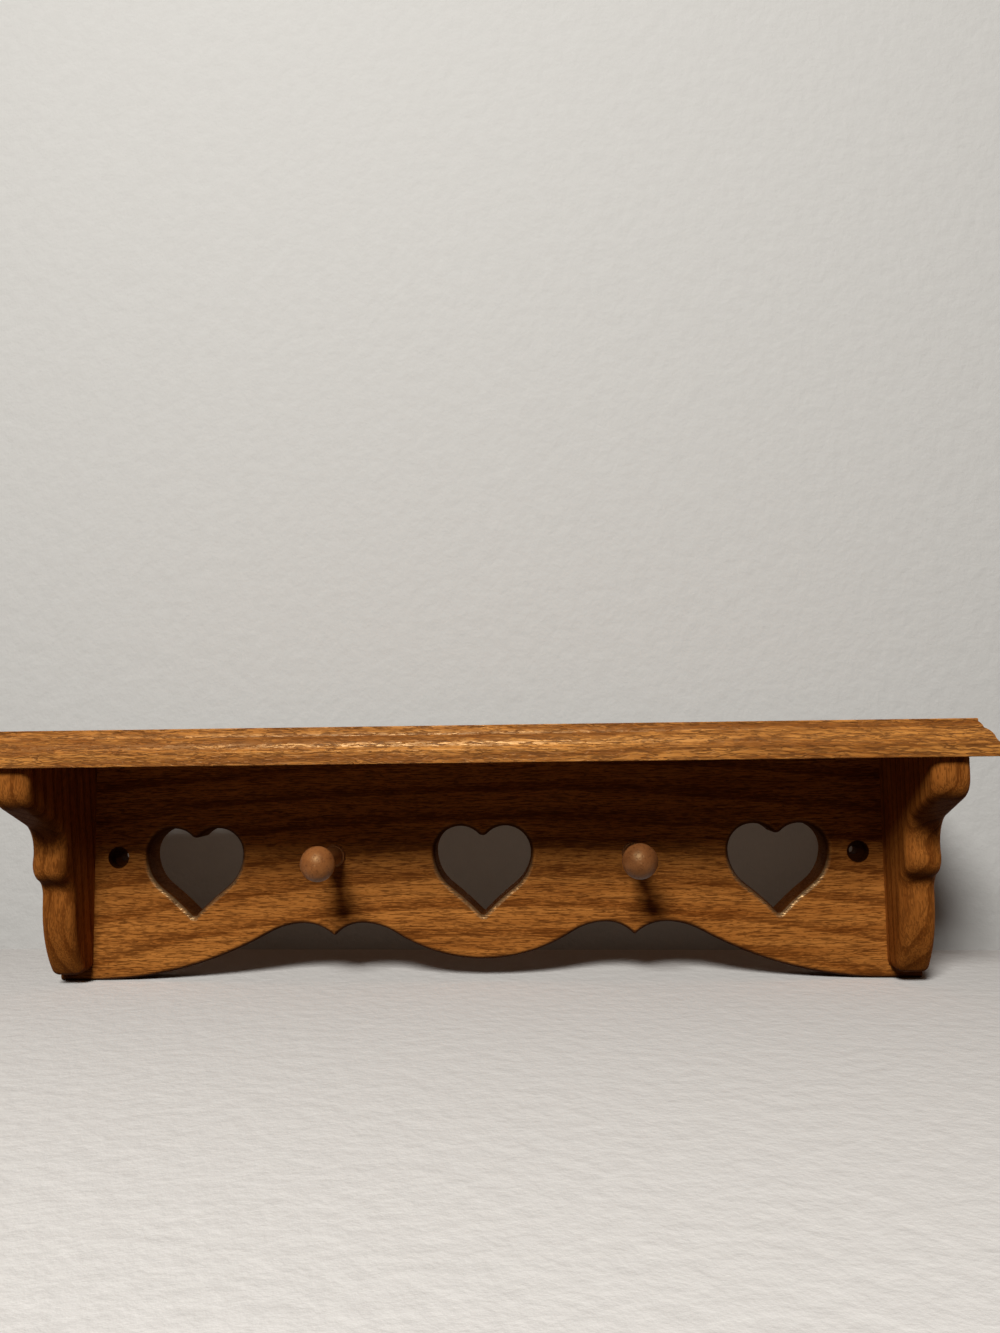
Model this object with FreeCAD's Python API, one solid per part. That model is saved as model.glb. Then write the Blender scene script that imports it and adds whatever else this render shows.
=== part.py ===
"""Oak wall shelf with two turned pegs, three heart cut-outs and scrolled end brackets.

Millimetres, +X to the right, +Y into the wall, +Z up.  The origin lies on the wall plane,
midway between the two screw holes of the back board.
"""

import FreeCAD, Part
import math
import os

Vector = FreeCAD.Vector

# Board stock
SHELF_THICKNESS = 19.0
BACK_THICKNESS = 19.0
BRACKET_THICKNESS = 19.0

# Main sizes
CLEAR_WIDTH = 457.0
BACK_HEIGHT = 125.0
BRACKET_DEPTH = 83.0
BRACKET_HEIGHT = 119.0
FRONT_OVERHANG = 5.0
END_OVERHANG = 12.5

# Moulded edge of the shelf, from its top edge down to the square band
MOULD_TOP_FILLET = 1.5
MOULD_UPPER_ROUND_OUT = 1.9
MOULD_UPPER_ROUND_FALL = 3.2
MOULD_UPPER_ROUND_BULGE = 0.25
MOULD_LOWER_ROUND_OUT = 3.9
MOULD_LOWER_ROUND_FALL = 4.9
MOULD_LOWER_ROUND_BULGE = 0.65
MOULD_FLARE_OUT = 1.5
MOULD_FLARE_FALL = 2.4
MOULD_FLARE_HOLLOW = 0.2
MOULD_LIP = 0.5
MOULD_EDGE_BREAK = 0.4

# Wall screw holes, set in from the brackets
WALL_HOLE_INSET = 14.0
WALL_HOLE_DROP = 54.0
WALL_HOLE_DIAMETER = 5.0
WALL_COUNTERBORE_DIAMETER = 12.5
WALL_COUNTERBORE_DEPTH = 9.0

# Heart cut-outs, the outer two set in from the wall screw holes
HEART_FROM_HOLE = 45.3
HEART_WIDTH = 55.8
HEART_HEIGHT = 50.8
HEART_LOBE_RADIUS = 14.8
HEART_NOTCH_SLOPE = 45.0
HEART_FLANK_RADIUS = 24.6
HEART_HOLLOW_RADIUS = 165.0
HEART_ABOVE_LOBE = 25.1
HEART_NOTCH_ROUND = 3.6
HEART_TIP_ROUND = 1.2
HEART_EDGE_ROUND = 3.5

# Scalloped lower edge of the back board
SCALLOP_RISE = 32.0
CENTRE_LOBE_HANG = 20.6
CENTRE_CREST_SHARE = 0.28
END_CREST_SHARE = 0.16
CUSP_HANG = 7.5
CUSP_TO_INNER_CREST = 16.0
CUSP_TO_OUTER_CREST = 18.0
CUSP_ROUND = 1.5
SCALLOP_EDGE_ROUND = 3.0

# Bracket scroll, walked down from the top of its nose
NOSE_FLAT = 9.5
NOSE_RADIUS = 13.5
COVE_SLOPE = 22.0
COVE_RADIUS = 17.0
WAIST_DEPTH = 39.8
BEAD_FALL = 6.0
BEAD_BULGE = 0.7
STEP_FALL = 19.5
STEP_BACK = 12.4
BEAD_SHARE = 0.54
LEG_STRAIGHT = 5.0
FOOT_DEPTH = 13.0
FOOT_ROUND = 5.0
BRACKET_EDGE_ROUND = 5.0

# Turned pegs, set in from the outer hearts
PEG_FROM_HEART = 82.4
PEG_DROP = 54.0
PEG_BASE_DIAMETER = 13.0
PEG_BASE_LENGTH = 3.0
PEG_NECK_CUT = 1.8
PEG_SHANK_LENGTH = 27.0
PEG_FLARE_LENGTH = 16.5
PEG_HEAD_DIAMETER = 19.2
PEG_RIM_RADIUS = 3.0
PEG_DOME_HEIGHT = 7.5
PEG_EDGE_BREAK = 0.8
PEG_TENON_DIAMETER = 9.5
PEG_BLIND_WALL = 3.4

# Countersunk screws that hold the brackets from behind
SCREW_LENGTH = 38.0
SCREW_DIAMETER = 4.2
SCREW_HEAD_DIAMETER = 8.4
SCREW_HEAD_HEIGHT = 2.6
SCREW_HEAD_SINK = 0.3
SCREW_TIP_LENGTH = 6.0
SCREW_TIP_DIAMETER = 0.8
SCREW_RECESS_WIDTH = 1.0
SCREW_RECESS_SPAN = 4.6
SCREW_RECESS_DEPTH = 1.4
SCREW_TOP_MARGIN = 27.0
SCREW_FOOT_MARGIN = 31.0

# Blind dowels under the shelf
DOWEL_DIAMETER = 8.0
DOWEL_LENGTH = 24.0
DOWEL_IN_SHELF = 10.0
DOWEL_CHAMFER = 1.0
BACK_DOWEL_SPACING = 150.0
BRACKET_DOWEL_REAR_MARGIN = 16.0
BRACKET_DOWEL_FRONT_MARGIN = 20.0

# Fits
GLUE_CLEARANCE = 0.05
SCREW_CLEARANCE = 0.05
BLIND_END_GAP = 0.6

# Places worked out from the driving dimensions
NEAR = 1e-6
UNDERSIDE = WALL_HOLE_DROP
SHELF_TOP = UNDERSIDE + SHELF_THICKNESS
BOARD_FRONT = -BACK_THICKNESS
BRACKET_INNER = CLEAR_WIDTH / 2
BRACKET_OUTER = BRACKET_INNER + BRACKET_THICKNESS
BRACKET_MIDDLE = BRACKET_INNER + BRACKET_THICKNESS / 2
SHELF_HALF_LENGTH = BRACKET_OUTER + END_OVERHANG
SHELF_REACH = BACK_THICKNESS + BRACKET_DEPTH + FRONT_OVERHANG
WALL_HOLE_X = BRACKET_INNER - WALL_HOLE_INSET
HEART_X = WALL_HOLE_X - HEART_FROM_HOLE
PEG_X = HEART_X - PEG_FROM_HEART
BOARD_BOTTOM = UNDERSIDE - BACK_HEIGHT
BRACKET_BOTTOM = UNDERSIDE - BRACKET_HEIGHT
CREST_Z = BOARD_BOTTOM + SCALLOP_RISE
CUSP_Z = CREST_Z - CUSP_HANG
CENTRE_LOBE_Z = CREST_Z - CENTRE_LOBE_HANG
PEG_Z = UNDERSIDE - PEG_DROP
DOWEL_BELOW_SHELF = DOWEL_LENGTH - DOWEL_IN_SHELF


class Outline:
    """A flat outline drawn as a walk of straight runs and tangent bends."""

    def __init__(self, start, heading):
        self.start = start
        self.point = start
        self.heading = heading
        self.pieces = []

    def line_to(self, point):
        run = (point[0] - self.point[0], point[1] - self.point[1])
        if math.hypot(*run) > NEAR:
            self.pieces.append((self.point, point))
            self.heading = math.degrees(math.atan2(run[1], run[0]))
        self.point = point
        return self

    def line(self, length):
        angle = math.radians(self.heading)
        step = (length * math.cos(angle), length * math.sin(angle))
        return self.line_to((self.point[0] + step[0], self.point[1] + step[1]))

    def face_towards(self, heading):
        self.heading = heading
        return self

    def bend(self, radius, angle):
        """Follow an arc that turns left for a positive angle and right for a negative one."""
        side = math.copysign(1.0, angle)
        normal = math.radians(self.heading + 90.0 * side)
        centre = (self.point[0] + radius * math.cos(normal), self.point[1] + radius * math.sin(normal))
        start_angle = normal + math.pi

        def on_arc(share):
            at = start_angle + math.radians(angle) * share
            return centre[0] + radius * math.cos(at), centre[1] + radius * math.sin(at)

        self.pieces.append((self.point, on_arc(0.5), on_arc(1.0)))
        self.point = on_arc(1.0)
        self.heading += angle
        return self

    def bow(self, along, up, bulge):
        """Follow an arc to a point given from here; its middle stands off the chord to the left."""
        end = (self.point[0] + along, self.point[1] + up)
        length = math.hypot(along, up)
        lift = (-up * bulge / length, along * bulge / length)
        middle = (self.point[0] + along / 2 + lift[0], self.point[1] + up / 2 + lift[1])
        self.pieces.append((self.point, middle, end))
        self.point = end
        return self

    def sway(self, along, across, first_share, side):
        """Two tangent arcs that shift the path sideways and leave it parallel to its start."""
        radius_sum, turn = arc_through(along, across)
        self.bend(radius_sum * first_share, side * turn)
        self.bend(radius_sum * (1 - first_share), -side * turn)
        return self

    def face(self, place):
        """Close the outline and lay it in space, where place turns (u, v) into a point."""
        self.line_to(self.start)
        edges = []
        for piece in self.pieces:
            corners = [place(*spot) for spot in piece]
            if len(corners) == 2:
                edges.append(Part.LineSegment(*corners).toShape())
            else:
                edges.append(Part.Arc(*corners).toShape())
        return Part.Face(Part.Wire(edges))


def arc_through(along, across):
    """Radius and turn of the arc that leaves straight ahead and passes through a point."""
    radius = (along ** 2 + across ** 2) / (2 * across)
    return radius, math.degrees(math.asin(along / radius))


def on_board_front(u, v):
    return Vector(u, BOARD_FRONT, v)


def mirrored(shape):
    return shape.mirror(Vector(0, 0, 0), Vector(1, 0, 0))


def both_halves(right_half):
    return right_half.fuse(mirrored(right_half)).removeSplitter()


def cylinder(diameter, length, base, direction):
    return Part.makeCylinder(diameter / 2, length, base, direction)


def edges_where(shape, test):
    return [edge for edge in shape.Edges if all(test(vertex.Point) for vertex in edge.Vertexes)]


# Shelf board


def moulding_width():
    return MOULD_UPPER_ROUND_OUT + MOULD_LOWER_ROUND_OUT + MOULD_FLARE_OUT + MOULD_LIP


def moulded_face(reach, place):
    """Cross section of the board from its middle or back out to one moulded edge."""
    section = Outline((0, SHELF_TOP), 0)
    section.line(reach - moulding_width() - MOULD_EDGE_BREAK)
    section.bend(MOULD_EDGE_BREAK, -90)
    section.line(MOULD_TOP_FILLET - MOULD_EDGE_BREAK)
    section.bow(MOULD_UPPER_ROUND_OUT, -MOULD_UPPER_ROUND_FALL, MOULD_UPPER_ROUND_BULGE)
    section.bow(MOULD_LOWER_ROUND_OUT, -MOULD_LOWER_ROUND_FALL, MOULD_LOWER_ROUND_BULGE)
    section.bow(MOULD_FLARE_OUT, -MOULD_FLARE_FALL, -MOULD_FLARE_HOLLOW)
    section.face_towards(0)
    section.line(MOULD_LIP - MOULD_EDGE_BREAK)
    section.bend(MOULD_EDGE_BREAK, -90)
    section.line(section.point[1] - UNDERSIDE - MOULD_EDGE_BREAK)
    section.bend(MOULD_EDGE_BREAK, -90)
    section.line_to((0, UNDERSIDE))
    return section.face(place)


def make_shelf_board():
    """Cross the front moulding with the end mouldings, so that the corners come out mitred."""
    front = moulded_face(SHELF_REACH, lambda u, v: Vector(-SHELF_HALF_LENGTH, -u, v))
    front = front.extrude(Vector(2 * SHELF_HALF_LENGTH, 0, 0))
    right_end = moulded_face(SHELF_HALF_LENGTH, lambda u, v: Vector(u, 0, v))
    ends = both_halves(right_end.extrude(Vector(0, -SHELF_REACH, 0)))
    board = front.common(ends).removeSplitter()
    return board.cut(dowel_holes(all_dowel_places(), UNDERSIDE, DOWEL_IN_SHELF))


# Back board


def make_heart_tool():
    """Prism of one heart at the middle of the board, as deep as the board is thick."""
    half = HEART_WIDTH / 2
    tip_z = CENTRE_LOBE_Z + HEART_ABOVE_LOBE
    lobe_z = tip_z + HEART_HEIGHT - HEART_LOBE_RADIUS
    slope = math.radians(HEART_NOTCH_SLOPE)
    slope_x = half - HEART_LOBE_RADIUS * (1 + math.sin(slope))
    slope_z = lobe_z + HEART_LOBE_RADIUS * math.cos(slope)
    notch_z = slope_z - slope_x * math.tan(slope)

    # The round flank and the hollow one touch each other and the hollow one ends at the tip
    flank_x = half - HEART_FLANK_RADIUS
    hollow = HEART_HOLLOW_RADIUS
    apart = HEART_FLANK_RADIUS + hollow
    tip_reach = math.hypot(flank_x, lobe_z - tip_z)
    at_flank = math.acos((apart ** 2 + tip_reach ** 2 - hollow ** 2) / (2 * apart * tip_reach))
    at_hollow = math.acos((apart ** 2 + hollow ** 2 - tip_reach ** 2) / (2 * apart * hollow))
    flank_turn = math.atan2(lobe_z - tip_z, -flank_x) - at_flank

    heart = Outline((0, notch_z), HEART_NOTCH_SLOPE)
    heart.line_to((slope_x, slope_z))
    heart.bend(HEART_LOBE_RADIUS, -90 - HEART_NOTCH_SLOPE)
    heart.bend(HEART_FLANK_RADIUS, -math.degrees(flank_turn))
    heart.bend(hollow, math.degrees(at_hollow))
    tool = both_halves(heart.face(on_board_front).extrude(Vector(0, BACK_THICKNESS, 0)))

    def corner(at_z):
        return edges_where(tool, lambda p: abs(p.x) < NEAR and abs(p.z - at_z) < NEAR)

    tool = tool.makeFillet(HEART_NOTCH_ROUND, corner(notch_z))
    return tool.makeFillet(HEART_TIP_ROUND, corner(tip_z))


def back_board_blank():
    """Scalloped board, drawn from its middle out to one end and mirrored."""
    half = Outline((0, CENTRE_LOBE_Z), 0)
    half.sway(PEG_X - CUSP_TO_INNER_CREST, CENTRE_LOBE_HANG, 1 - CENTRE_CREST_SHARE, 1)

    radius, turn = arc_through(CUSP_TO_INNER_CREST, CUSP_HANG)
    half.bend(radius, -turn)
    radius, turn = arc_through(CUSP_TO_OUTER_CREST, CUSP_HANG)
    half.face_towards(turn)
    half.bend(radius, -turn)

    half.sway(BRACKET_INNER - half.point[0], SCALLOP_RISE, END_CREST_SHARE, -1)
    half.line_to((BRACKET_OUTER, BOARD_BOTTOM))
    half.line_to((BRACKET_OUTER, UNDERSIDE))
    half.line_to((0, UNDERSIDE))
    board = both_halves(half.face(on_board_front).extrude(Vector(0, BACK_THICKNESS, 0)))
    cusps = edges_where(board, lambda p: abs(abs(p.x) - PEG_X) < NEAR and abs(p.z - CUSP_Z) < NEAR)
    return board.makeFillet(CUSP_ROUND, cusps)


def make_back_board():
    def on_front_rim(point):
        return abs(point.y - BOARD_FRONT) < NEAR and point.z < UNDERSIDE - NEAR

    board = back_board_blank()
    board = board.makeFillet(SCALLOP_EDGE_ROUND, edges_where(board, on_front_rim))
    heart = make_heart_tool()
    for x in (-HEART_X, 0, HEART_X):
        board = board.cut(heart.translated(Vector(x, 0, 0)))

    def on_heart_rim(point):
        nearest = min(abs(point.x - x) for x in (-HEART_X, 0, HEART_X))
        in_height = heart.BoundBox.ZMin - NEAR < point.z < heart.BoundBox.ZMax + NEAR
        return abs(point.y - BOARD_FRONT) < NEAR and nearest < HEART_WIDTH / 2 + NEAR and in_height

    board = board.makeFillet(HEART_EDGE_ROUND, edges_where(board, on_heart_rim))
    into_board = Vector(0, 1, 0)
    tenon_hole = PEG_TENON_DIAMETER + 2 * GLUE_CLEARANCE
    for side in (-1, 1):
        wall_hole = Vector(side * WALL_HOLE_X, BOARD_FRONT, 0)
        peg_hole = Vector(side * PEG_X, BOARD_FRONT, PEG_Z)
        board = board.cut(cylinder(WALL_HOLE_DIAMETER, BACK_THICKNESS, wall_hole, into_board))
        board = board.cut(cylinder(WALL_COUNTERBORE_DIAMETER, WALL_COUNTERBORE_DEPTH, wall_hole, into_board))
        board = board.cut(cylinder(tenon_hole, BACK_THICKNESS - PEG_BLIND_WALL, peg_hole, into_board))
    board = board.cut(bracket_screw_holes())
    return board.cut(dowel_holes_below_shelf(back_dowel_places()))


# Scrolled brackets


def bracket_face():
    """Side outline of a bracket: u is the depth in front of the back board, v the height."""
    fall = 90 - COVE_SLOPE
    versine = 1 - math.cos(math.radians(fall))
    slope_run = BRACKET_DEPTH - WAIST_DEPTH - (NOSE_RADIUS + COVE_RADIUS) * versine

    scroll = Outline((BRACKET_DEPTH, UNDERSIDE), -90)
    scroll.line(NOSE_FLAT)
    scroll.bend(NOSE_RADIUS, -fall)
    scroll.line(slope_run / math.cos(math.radians(COVE_SLOPE)))
    scroll.bend(COVE_RADIUS, fall)
    scroll.sway(BEAD_FALL, BEAD_BULGE, 0.5, 1)
    scroll.sway(STEP_FALL, STEP_BACK, BEAD_SHARE, -1)
    scroll.line(LEG_STRAIGHT)
    radius, turn = arc_through(scroll.point[1] - BRACKET_BOTTOM, scroll.point[0] - FOOT_DEPTH)
    scroll.bend(radius, -turn)
    scroll.line_to((0, BRACKET_BOTTOM))
    scroll.line_to((0, UNDERSIDE))
    return scroll.face(lambda u, v: Vector(BRACKET_INNER, BOARD_FRONT - u, v))


def make_right_bracket():
    bracket = bracket_face().extrude(Vector(BRACKET_THICKNESS, 0, 0))
    foot_y = BOARD_FRONT - FOOT_DEPTH
    foot = edges_where(bracket, lambda p: abs(p.y - foot_y) < NEAR and abs(p.z - BRACKET_BOTTOM) < NEAR)
    bracket = bracket.makeFillet(FOOT_ROUND, foot)

    def on_scroll(edge):
        on_side = edge.BoundBox.XLength < NEAR
        clear_of_back = edge.BoundBox.YMin < BOARD_FRONT - NEAR
        clear_of_top = edge.BoundBox.ZMin < UNDERSIDE - NEAR
        return on_side and clear_of_back and clear_of_top

    bracket = bracket.makeFillet(BRACKET_EDGE_ROUND, [edge for edge in bracket.Edges if on_scroll(edge)])
    bracket = bracket.cut(bracket_screw_holes())
    return bracket.cut(dowel_holes_below_shelf(bracket_dowel_places(1)))


# Turned pegs


def peg_profile():
    """Half section of a peg: u is the radius, v the reach out of the board."""
    base = PEG_BASE_DIAMETER / 2
    neck = base - PEG_NECK_CUT
    head = PEG_HEAD_DIAMETER / 2
    tenon = PEG_TENON_DIAMETER / 2
    tenon_end = PEG_BLIND_WALL + BLIND_END_GAP - BACK_THICKNESS
    profile = Outline((0, tenon_end), 0)
    profile.line(tenon - PEG_EDGE_BREAK)
    profile.line_to((tenon, tenon_end + PEG_EDGE_BREAK))
    profile.line_to((tenon, 0))
    profile.line_to((base, 0))
    profile.line_to((base, PEG_BASE_LENGTH - PEG_EDGE_BREAK))
    profile.bend(PEG_EDGE_BREAK, 90)

    radius, turn = arc_through(PEG_SHANK_LENGTH - PEG_BASE_LENGTH, profile.point[0] - neck)
    profile.face_towards(90 + turn)
    profile.bend(radius, -turn)

    flare_out = head - neck - PEG_RIM_RADIUS
    flare_square = flare_out ** 2 + PEG_FLARE_LENGTH ** 2 - PEG_RIM_RADIUS ** 2
    flare_radius = flare_square / (2 * (flare_out + PEG_RIM_RADIUS))
    flare_turn = math.degrees(math.asin(PEG_FLARE_LENGTH / (flare_radius + PEG_RIM_RADIUS)))
    profile.bend(flare_radius, -flare_turn)
    profile.bend(PEG_RIM_RADIUS, flare_turn)

    dome_reach = head - PEG_RIM_RADIUS
    dome_square = dome_reach ** 2 + PEG_DOME_HEIGHT ** 2 - PEG_RIM_RADIUS ** 2
    dome_radius = dome_square / (2 * (PEG_DOME_HEIGHT - PEG_RIM_RADIUS))
    dome_turn = math.degrees(math.asin(dome_reach / (dome_radius - PEG_RIM_RADIUS)))
    profile.bend(PEG_RIM_RADIUS, 90 - dome_turn)
    profile.bend(dome_radius, dome_turn)
    return profile


def make_peg(x):
    face = peg_profile().face(lambda u, v: Vector(x + u, BOARD_FRONT - v, PEG_Z))
    return face.revolve(Vector(x, BOARD_FRONT, PEG_Z), Vector(0, 1, 0), 360)


# Bracket screws


def bracket_screw_places():
    heights = (UNDERSIDE - SCREW_TOP_MARGIN, BRACKET_BOTTOM + SCREW_FOOT_MARGIN)
    return [Vector(side * BRACKET_MIDDLE, -SCREW_HEAD_SINK, z) for side in (-1, 1) for z in heights]


def screw_solid(seat, clearance, mouth, length):
    """Countersunk screw driven in from the wall side; its hole has a clearance and an open mouth."""
    head = SCREW_HEAD_DIAMETER / 2 + clearance
    shank = SCREW_DIAMETER / 2 + clearance
    tip = SCREW_TIP_DIAMETER / 2 + clearance
    profile = Outline((0, -mouth), 0)
    profile.line_to((head, -mouth))
    profile.line_to((head, 0))
    profile.line_to((shank, SCREW_HEAD_HEIGHT))
    profile.line_to((shank, length - SCREW_TIP_LENGTH))
    profile.line_to((tip, length))
    profile.line_to((0, length))
    face = profile.face(lambda u, v: seat + Vector(u, -v, 0))
    return face.revolve(seat, Vector(0, 1, 0), 360)


def bracket_screw_holes():
    length = SCREW_LENGTH + BLIND_END_GAP
    places = bracket_screw_places()
    return Part.makeCompound([screw_solid(p, SCREW_CLEARANCE, SCREW_HEAD_SINK, length) for p in places])


def cross_recess(seat):
    half_span = SCREW_RECESS_SPAN / 2
    half_width = SCREW_RECESS_WIDTH / 2
    level_corner = seat - Vector(half_span, SCREW_RECESS_DEPTH, half_width)
    level_slot = Part.makeBox(SCREW_RECESS_SPAN, SCREW_RECESS_DEPTH, SCREW_RECESS_WIDTH, level_corner)
    upright_corner = seat - Vector(half_width, SCREW_RECESS_DEPTH, half_span)
    upright_slot = Part.makeBox(SCREW_RECESS_WIDTH, SCREW_RECESS_DEPTH, SCREW_RECESS_SPAN, upright_corner)
    return level_slot.fuse(upright_slot)


def make_bracket_screws():
    screws = []
    for seat in bracket_screw_places():
        screw = screw_solid(seat, 0.0, 0.0, SCREW_LENGTH)
        screws.append(screw.cut(cross_recess(seat)))
    return Part.makeCompound(screws)


# Shelf dowels


def back_dowel_places():
    middle = -BACK_THICKNESS / 2
    return [(step * BACK_DOWEL_SPACING, middle) for step in (-1, 0, 1)]


def bracket_dowel_places(side):
    reaches = (BRACKET_DOWEL_REAR_MARGIN, BRACKET_DEPTH - BRACKET_DOWEL_FRONT_MARGIN)
    return [(side * BRACKET_MIDDLE, BOARD_FRONT - reach) for reach in reaches]


def all_dowel_places():
    return back_dowel_places() + bracket_dowel_places(-1) + bracket_dowel_places(1)


def dowel_holes(places, bottom, depth):
    diameter = DOWEL_DIAMETER + 2 * GLUE_CLEARANCE
    feet = [Vector(x, y, bottom) for x, y in places]
    return Part.makeCompound([cylinder(diameter, depth, foot, Vector(0, 0, 1)) for foot in feet])


def dowel_holes_below_shelf(places):
    depth = DOWEL_BELOW_SHELF + BLIND_END_GAP
    return dowel_holes(places, UNDERSIDE - depth, depth)


def make_shelf_dowels():
    dowels = []
    for x, y in all_dowel_places():
        foot = Vector(x, y, UNDERSIDE - DOWEL_BELOW_SHELF)
        dowel = cylinder(DOWEL_DIAMETER, DOWEL_LENGTH, foot, Vector(0, 0, 1))
        rims = [edge for edge in dowel.Edges if edge.BoundBox.ZLength < NEAR]
        dowels.append(dowel.makeChamfer(DOWEL_CHAMFER, rims))
    return Part.makeCompound(dowels)


right_bracket = make_right_bracket()

parts = {
    "shelf_board": make_shelf_board(),
    "back_board": make_back_board(),
    "left_bracket": mirrored(right_bracket),
    "right_bracket": right_bracket,
    "left_peg": make_peg(-PEG_X),
    "right_peg": make_peg(PEG_X),
    "bracket_screws": make_bracket_screws(),
    "shelf_dowels": make_shelf_dowels(),
}

os.makedirs("parts", exist_ok=True)
for name, shape in parts.items():
    shape.exportStep(f"parts/{name}.step")
    box = shape.optimalBoundingBox(False, False)
    size = f"{box.XLength:.1f} x {box.YLength:.1f} x {box.ZLength:.1f} mm"
    volume = shape.Volume / 1000
    print(f"{name}: {len(shape.Solids)} solid(s), {size}, {volume:.1f} cm3, valid {shape.isValid()}")
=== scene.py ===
# %% [markdown]
# # A golden oak wall shelf with two pegs
# This lesson dresses a finished CAD model of a small country wall shelf. The solids come from the
# imported frame and already have the right shape: a moulded shelf, a scalloped back board with three
# hearts, two scrolled brackets and two turned pegs. They could be modelled again here, but they are
# exact as they are, so what is left for Blender is the wood's finish, the light and the camera. The
# solids' box is taken at the start, and the floor is set just under it.

# %% Load the imported model
import math

import bmesh
import bpy
from mathutils import Matrix, Vector


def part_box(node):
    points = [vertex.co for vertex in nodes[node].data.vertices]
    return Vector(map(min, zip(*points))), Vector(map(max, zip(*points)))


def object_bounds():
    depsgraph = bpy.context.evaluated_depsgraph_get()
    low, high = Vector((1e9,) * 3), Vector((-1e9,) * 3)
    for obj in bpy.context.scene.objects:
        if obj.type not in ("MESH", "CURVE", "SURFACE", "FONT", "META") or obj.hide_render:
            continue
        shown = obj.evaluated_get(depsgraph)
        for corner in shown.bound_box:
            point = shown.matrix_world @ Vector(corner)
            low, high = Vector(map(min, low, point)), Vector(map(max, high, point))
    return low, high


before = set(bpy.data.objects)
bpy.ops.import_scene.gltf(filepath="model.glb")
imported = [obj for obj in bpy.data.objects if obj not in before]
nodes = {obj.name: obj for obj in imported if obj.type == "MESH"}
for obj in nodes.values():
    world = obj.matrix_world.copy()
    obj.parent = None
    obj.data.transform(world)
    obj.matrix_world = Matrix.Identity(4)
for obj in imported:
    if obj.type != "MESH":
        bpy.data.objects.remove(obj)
cad_low, cad_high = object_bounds()
MM = 0.001
print("nodes:", ", ".join(sorted(nodes)))
print("size in mm:", [round((high - low) / MM, 1) for low, high in zip(cad_low, cad_high)])

# %% [markdown]
# ## The camera
# The photograph was taken by hand from about the height of the shelf's underside, a little to the
# right of the middle. A camera could be aimed by eye, but the straight lines of the shelf give its
# place exactly: where they meet and how far apart they look fix the height, the turn and the tilt.
# The focal length is that of a phone's main lens.

# %% Place the camera
IMAGE_HEIGHT = 1333
SENSOR_MM = 36.0
FOCAL_PIXELS = 1020.0
CAMERA_PLACE = Vector((0.03704, -0.61598, 0.05992))
CAMERA_YAW = math.radians(-2.452)
CAMERA_PITCH = math.radians(4.708)
CAMERA_ROLL = math.radians(0.734)


def camera_matrix():
    """The camera's place and turn, from its yaw, pitch and roll."""
    level_right = Vector((math.cos(CAMERA_YAW), -math.sin(CAMERA_YAW), 0))
    level_ahead = Vector((math.sin(CAMERA_YAW), math.cos(CAMERA_YAW), 0))
    ahead = level_ahead * math.cos(CAMERA_PITCH) + Vector((0, 0, math.sin(CAMERA_PITCH)))
    down = ahead.cross(level_right)
    right = level_right * math.cos(CAMERA_ROLL) + down * math.sin(CAMERA_ROLL)
    up = ahead.cross(right) * -1
    turn = Matrix((right, up, ahead * -1)).transposed()
    return Matrix.Translation(CAMERA_PLACE) @ turn.to_4x4()


camera_data = bpy.data.cameras.new("camera")
camera_data.sensor_width = SENSOR_MM
camera_data.lens = FOCAL_PIXELS * SENSOR_MM / IMAGE_HEIGHT
camera = bpy.data.objects.new("camera", camera_data)
camera.matrix_world = camera_matrix()
bpy.context.scene.collection.objects.link(camera)
bpy.context.scene.camera = camera
print(f"camera: {camera_data.lens:.2f} mm lens")

# %% [markdown]
# ## A small kit for nodes
# Every finish below is a tree of shader nodes. In the editor they are dragged in and wired by hand.
# In a script each one takes many lines, so this little class adds a node, sets its sockets and links
# it in one call. A socket is given either a number, a colour or the output of another node.

# %% Node helper


def colour(red, green, blue):
    return (red, green, blue, 1.0)


class Nodes:
    """Short ways to add nodes to one node tree."""

    def __init__(self, tree):
        self.tree = tree

    def put(self, socket, value):
        if isinstance(value, bpy.types.NodeSocket):
            self.tree.links.new(value, socket)
        else:
            socket.default_value = value

    def node(self, kind, sockets=None, **settings):
        node = self.tree.nodes.new(kind)
        for key, value in settings.items():
            setattr(node, key, value)
        for key, value in (sockets or {}).items():
            self.put(node.inputs[key], value)
        return node

    def math(self, operation, first, second=0.0, clamp=False):
        sockets = {0: first, 1: second}
        return self.node("ShaderNodeMath", sockets, operation=operation, use_clamp=clamp).outputs[0]

    def vector(self, operation, first, second=(0, 0, 0)):
        node = self.node("ShaderNodeVectorMath", {0: first, 1: second}, operation=operation)
        return node.outputs["Value" if operation == "LENGTH" else "Vector"]

    def ramp(self, value, low, high):
        """0 below low, 1 above high and a smooth step in between."""
        sockets = {"Value": value, "From Min": low, "From Max": high}
        node = self.node("ShaderNodeMapRange", sockets, interpolation_type="SMOOTHSTEP")
        return node.outputs["Result"]

    def part(self, value, share):
        return self.math("MULTIPLY", value, share)

    def opposite(self, value):
        return self.math("SUBTRACT", 1.0, value)

    def mix(self, share, first, second):
        sockets = {"Factor": share, "A": first, "B": second}
        node = self.node("ShaderNodeMix", data_type="RGBA")
        for key, value in sockets.items():
            self.put(node.inputs[key], value)
        return node.outputs["Result"]


print("node helper ready")

# %% [markdown]
# ## A finish
# A finish is a material with one principled shader. Its pattern is read from Object coordinates,
# which are the same as the shelf's own frame because every solid sits at the origin. So one pattern
# runs through a board from face to face, as real grain does. Noise is stretched by its scale: a
# small number along the grain and a large one across it give long thin fibres.

# %% Finish helper


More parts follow.
